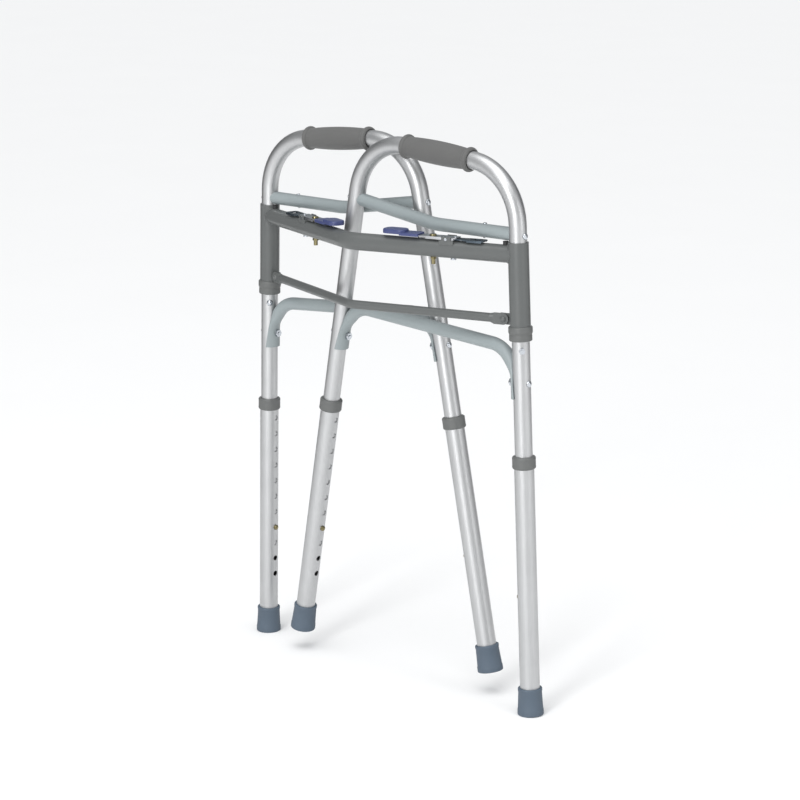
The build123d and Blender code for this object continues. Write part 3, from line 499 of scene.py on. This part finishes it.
def lower_brace(side):
    """Lower brace: round tube whose ends are pressed flat and cupped round the legs."""
    upright, depth = side_axes(side)
    normal = upright.cross(depth)
    base = LEGS[side, "front"].foot
    steps = 56
    route = brace_route(side)
    lengths = [0.0]
    for (a, _), (b, _) in zip(route, route[1:]):
        lengths.append(lengths[-1] + math.hypot(b[0] - a[0], b[1] - a[1]))
    total = lengths[-1]
    vertices, faces = [], []
    for shell in (0.0, BRACE_WALL):
        for (place, tangent), length in zip(route, lengths):
            centre = base + depth * place[0] + upright * place[1]
            outward = depth * tangent[1] - upright * tangent[0]
            near_end = min(length, total - length)
            leg = LEGS[side, "rear" if length > total / 2 else "front"]
            height = (centre - leg.foot).dot(leg.up)
            seat = leg.at(height, CUP_INNER + CUP_THICKNESS / 2)
            centre = centre.lerp(seat, ease(near_end, FLAT_LENGTH, SEAT_CHANGE))
            flat = ease(near_end, FLAT_LENGTH, FLAT_CHANGE)
            cup_arc = CUP_ARC - CUP_ARC_LOSS * min(1.0, near_end / CUP_TAPER)
            inner = CUP_INNER + shell * CUP_WALL
            outer = CUP_INNER + CUP_THICKNESS - shell * CUP_WALL
            for step in range(steps):
                turn = 2 * math.pi * step / steps
                radius = BRACE_RADIUS - shell
                round_offset = outward * (radius * math.cos(turn)) + normal * (radius * math.sin(turn))
                spread = (cup_arc - shell * CUP_ARC_INSET) * math.sin(turn)
                reach = inner + (outer - inner) * (0.5 + 0.5 * max(-1.0, min(1.0, math.cos(turn) * 3.0)))
                cup_offset = (outward * (reach * math.cos(spread) - CUP_INNER - CUP_THICKNESS / 2)
                              + normal * (reach * math.sin(spread)))
                point = centre + round_offset.lerp(cup_offset, flat)
                # the round part is coped so that it never enters the leg
                radial = point - leg.foot
                radial -= leg.up * radial.dot(leg.up)
                if radial.length < inner and near_end < COPE_LENGTH:
                    point += radial.normalized() * (inner - radial.length)
                vertices.append(point)
    rows = len(route)
    for shell in range(2):
        for row in range(rows - 1):
            for step in range(steps):
                a = (shell * rows + row) * steps + step
                b = (shell * rows + row) * steps + (step + 1) % steps
                faces.append((a, b, b + steps, a + steps))
    for row in (0, rows - 1):
        for step in range(steps):
            a, b = row * steps + step, row * steps + (step + 1) % steps
            faces.append((a, b, b + rows * steps, a + rows * steps))
    piece(f"lower_brace_{side}", f"{side}_frame", "blue_grey_paint", vertices, faces,
          [f"side_brace_lower_{side}"], 60.0)


# ---------------------------------------------------------------- bolts of the side frames
HEAD_RADIUS = 0.0047
HEAD_HEIGHT = 0.0030
NUT_RADIUS = 0.0060
NUT_HEIGHT = 0.0034
NUT_STAND = 0.0008                # the brace is not quite flat yet where its bolt goes through


def screw(origin, out, side_axis, seat, reach):
    """Domed screw: its head sits at seat along out, and its shank ends at -reach with a chamfer."""
    profile = [(seat + HEAD_HEIGHT, 0.0003)]
    for k in range(1, 9):
        angle = math.pi / 2 * k / 8
        along = seat + 0.0004 + (HEAD_HEIGHT - 0.0004) * math.cos(angle)
        profile.append((along, HEAD_RADIUS * math.sin(angle)))
    profile += [(seat, HEAD_RADIUS - 0.0002), (seat, SCREW_RADIUS), (0.0005 - reach, SCREW_RADIUS),
                (-reach, SCREW_RADIUS - 0.0005)]
    return lathe(origin, out, side_axis, profile, steps=40, ring=False)


def nut(origin, out, side_axis, seat):
    """Hexagon nut on a screw, its face at seat along out, with chamfered corners and a countersunk bore."""
    def hexagon(turn, along, radius):
        if radius < SCREW_RADIUS + 0.0004:
            return radius
        flat = NUT_RADIUS * math.cos(math.pi / 6) / math.cos(math.remainder(turn, math.pi / 3))
        return min(flat, radius)

    corner = NUT_RADIUS - 0.0005
    profile = [(seat, SCREW_RADIUS + 0.0003), (seat, corner), (seat + 0.0006, NUT_RADIUS),
               (seat + NUT_HEIGHT - 0.0006, NUT_RADIUS), (seat + NUT_HEIGHT, corner),
               (seat + NUT_HEIGHT, SCREW_RADIUS + 0.0003), (seat + NUT_HEIGHT - 0.0003, SCREW_RADIUS),
               (seat + 0.0003, SCREW_RADIUS)]
    return lathe(origin, out, side_axis, profile, steps=48, shape=hexagon)


def frame_bolts(side):
    """Screws of the upper brace, and the bolts and nuts that hold the lower brace's cupped ends."""
    shapes = []
    upper = middle(f"brace_plugs_{side}")
    for end in ENDS:
        leg = LEGS[side, end]
        height = (upper - leg.foot).dot(side_axes(side)[0]) / leg.up.dot(side_axes(side)[0])
        shapes.append(screw(leg.at(height), -leg.inward, leg.up, LEG_RADIUS, LEG_RADIUS + 0.016))
        cup = CUP_INNER + CUP_THICKNESS + NUT_STAND
        shapes.append(screw(leg.at(BRACE_BOLT), -leg.inward, leg.up, LEG_RADIUS, cup + NUT_HEIGHT + 0.0012))
        shapes.append(nut(leg.at(BRACE_BOLT), leg.inward, leg.up, cup))
    piece(f"frame_bolts_{side}", f"{side}_frame", "zinc_steel", *joined(*shapes), [f"brace_bolts_{side}"], 30.0)


# ---------------------------------------------------------------- collars under the sleeves
def sleeve_collar(side):
    """Collar under a sleeve: a rounded bead over a shallow groove, then a body that tapers to its mouth."""
    leg = LEGS[side, "front"]
    low, high, flange, bore = 0.5479, 0.5685, 0.0172, 0.01278
    sleeve_bore, spigot = 0.0136, 0.5905
    profile = [(low, bore), (low, 0.0152)]
    profile += arc((low + 0.0012, 0.0152), 0.0012, 180, 100, 4)[1:]
    profile += [(low + 0.0075, flange - 0.0009), (low + 0.0093, flange - 0.0011),
                (low + 0.0101, flange - 0.0006)]
    profile += arc((high - 0.0084, flange - 0.0010), 0.0010, 150, 90, 4)
    profile += arc((high - 0.0022, flange - 0.0022), 0.0022, 90, 0, 6)
    profile += [(high, sleeve_bore), (spigot, sleeve_bore), (spigot, bore)]
    vertices, faces = lathe(leg.foot, leg.up, leg.inward, profile, steps=96)
    piece(f"sleeve_foot_{side}", "front_brace", "grey_collar", vertices, faces, [f"sleeve_collar_{side}"])


# ---------------------------------------------------------------- weld beads
def bar_direction(side):
    """Level direction from a hinge leg along the front bar."""
    low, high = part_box("front_bar_upper")
    sleeve = middle(f"hinge_sleeve_{side}")
    axis = Vector(joints[f"{side}_release"]["axis"])
    along = axis.cross(Vector((0, 0, 1)))
    if along.x * sleeve.x > 0:
        along.negate()
    return along.normalized(), (low.z + high.z) / 2


WELD_RADIUS = 0.0013


def weld(side):
    """Weld bead where the bar meets the sleeve: a rippled bead along the crossing of the two tubes."""
    along, height = bar_direction(side)
    hinge = joints[f"{side}_fold"]
    hinge_axis = Vector(hinge["axis"])
    hinge_axis *= 1 if hinge_axis.z > 0 else -1
    centre = Vector(hinge["pos_m"])
    centre += hinge_axis * ((height - centre.z) / hinge_axis.z)
    lateral = Vector((0, 0, 1)).cross(along)
    count, around = 120, 12
    vertices, faces = [], []
    for k in range(count):
        turn = 2 * math.pi * k / count
        bar_out = lateral * math.sin(turn) + Vector((0, 0, 1)) * math.cos(turn)
        on_bar = centre + bar_out * BAR_RADIUS
        radial = on_bar - centre
        radial -= hinge_axis * radial.dot(hinge_axis)
        lean = along - hinge_axis * along.dot(hinge_axis)
        across = radial.dot(lean)
        gap = radial.length_squared - SLEEVE_RADIUS ** 2
        reach = math.sqrt(across * across - lean.length_squared * gap) - across
        spot = on_bar + along * (reach / lean.length_squared)
        sleeve_out = spot - centre
        sleeve_out -= hinge_axis * sleeve_out.dot(hinge_axis)
        sleeve_out.normalize()
        size = WELD_RADIUS * (1 + 0.1 * math.sin(turn * 26) + 0.05 * math.sin(turn * 7))
        tangent = bar_out.cross(sleeve_out).normalized()
        first = bar_out - tangent * bar_out.dot(tangent)
        first.normalize()
        second = tangent.cross(first)
        for j in range(around):
            angle = 2 * math.pi * j / around
            vertices.append(spot + (first * math.cos(angle) + second * math.sin(angle)) * size)
    for k in range(count):
        for j in range(around):
            a, b = k * around + j, k * around + (j + 1) % around
            c, d = (k + 1) % count * around + (j + 1) % around, (k + 1) % count * around + j
            faces.append((a, b, c, d))
    piece(f"bar_weld_{side}", "front_brace", "dark_powder_coat", vertices, faces, (), 60.0)


# ---------------------------------------------------------------- build the pieces
SLOT_OF = {part["node"]: part["material_slot"] for part in frame["record"]["subparts"]}
for node, shown in nodes.items():
    shown.data.materials.clear()
    shown.data.materials.append(MATERIALS[SLOT_OF[node]])

for side in SIDES:
    grip(side)
    lower_brace(side)
    weld(side)
    frame_bolts(side)
    sleeve_collar(side)
    for end in ENDS:
        tip(side, end)
        collar(side, end)
    bevelled(f"latch_hook_{side}", f"hook_{side}", f"{side}_lever", "hook_steel", 0.0003)
    bevelled(f"latch_lever_{side}", f"lever_{side}", f"{side}_lever", "latch_steel", 0.0003)
    bevelled(f"latch_bracket_{side}", f"bracket_{side}", "front_brace", "dark_powder_coat", 0.0003)
    bevelled(f"release_paddle_{side}", f"paddle_{side}", f"{side}_lever", "blue_plastic", 0.0007, 4)


# ---------------------------------------------------------------- floor, light and camera
def floor():
    half = 40.0
    mesh = bpy.data.meshes.new("floor")
    corners = [(-half, -half, 0), (half, -half, 0), (half, half, 0), (-half, half, 0)]
    mesh.from_pydata(corners, [], [(0, 1, 2, 3)])
    finish = Finish("studio_floor", Roughness=0.75)
    finish.colour(finish.noise(3.0, 2.0), (0.917, 0.917, 0.917), (0.923, 0.923, 0.923))
    mesh.materials.append(finish.material)
    shown = bpy.data.objects.new("floor", mesh)
    bpy.context.scene.collection.objects.link(shown)


def lamp(name, kind, place, aim, energy, **settings):
    data = bpy.data.lights.new(name, kind)
    data.energy = energy
    for key, value in settings.items():
        setattr(data, key, value)
    shown = bpy.data.objects.new(name, data)
    bpy.context.scene.collection.objects.link(shown)
    shown.location = place
    shown.rotation_mode = "QUATERNION"
    shown.rotation_quaternion = (Vector(aim) - Vector(place)).to_track_quat("-Z", "Y")
    return shown


def flag(name, place, width, height):
    """Black studio panel that only reflections see: it draws the dark edges on the bright tubes."""
    mesh = bpy.data.meshes.new(name)
    half = width / 2
    mesh.from_pydata([(-half, 0, 0), (half, 0, 0), (half, 0, height), (-half, 0, height)], [], [(0, 1, 2, 3)])
    finish = Finish(name, Roughness=1.0)
    finish.colour(finish.noise(4.0), (0.10, 0.10, 0.10), (0.12, 0.12, 0.12))
    mesh.materials.append(finish.material)
    shown = bpy.data.objects.new(name, mesh)
    bpy.context.scene.collection.objects.link(shown)
    shown.location = place
    shown.rotation_euler = (0, 0, math.atan2(place[1], place[0]) + math.pi / 2)
    shown.visible_camera = False
    shown.visible_diffuse = False
    shown.visible_shadow = False


def studio():
    bpy.context.scene.view_settings.view_transform = "Standard"
    world = bpy.data.worlds.new("studio")
    bpy.context.scene.world = world
    world.use_nodes = True
    background = world.node_tree.nodes["Background"]
    background.inputs["Color"].default_value = (0.96, 0.98, 1.0, 1.0)
    background.inputs["Strength"].default_value = 0.42
    target = (0.0, 0.0, 0.45)
    lamp("overhead", "SUN", (0.5, -1.0, 4.0), target, 2.05, angle=math.radians(60))
    lamp("key", "AREA", (1.1, -3.4, 1.7), target, 70.0, shape="RECTANGLE", size=0.9, size_y=2.6)
    lamp("fill", "AREA", (3.8, 0.4, 1.4), target, 20.0, shape="RECTANGLE", size=1.2, size_y=2.2)
    flag("flag_left", (-1.9, -0.1, 0.0), 1.7, 2.4)
    flag("flag_right", (0.7, 1.9, 0.0), 1.2, 2.4)


HINGE_LINE_Y = joints["left_fold"]["pos_m"][1]
CAMERA_PLACE = Vector((2.6436, HINGE_LINE_Y - 2.6279, 1.3092))
CAMERA_AIM = Vector((0.0202, HINGE_LINE_Y, 0.4233))
CAMERA_ROLL = math.radians(-0.584)
CAMERA_LENS = 116.6


def camera():
    data = bpy.data.cameras.new("camera")
    data.lens = CAMERA_LENS
    data.sensor_width = 36.0
    data.clip_start = 0.05
    data.clip_end = 200.0
    shown = bpy.data.objects.new("camera", data)
    bpy.context.scene.collection.objects.link(shown)
    sight = (CAMERA_AIM - CAMERA_PLACE).normalized()
    right = sight.cross(Vector((0, 0, 1))).normalized()
    up = right.cross(sight)
    c, s = math.cos(CAMERA_ROLL), math.sin(CAMERA_ROLL)
    right, up = right * c + up * s, up * c - right * s
    turn = Matrix((right, up, -sight)).transposed()
    shown.matrix_world = Matrix.Translation(CAMERA_PLACE) @ turn.to_4x4()
    bpy.context.scene.camera = shown


floor()
studio()
camera()
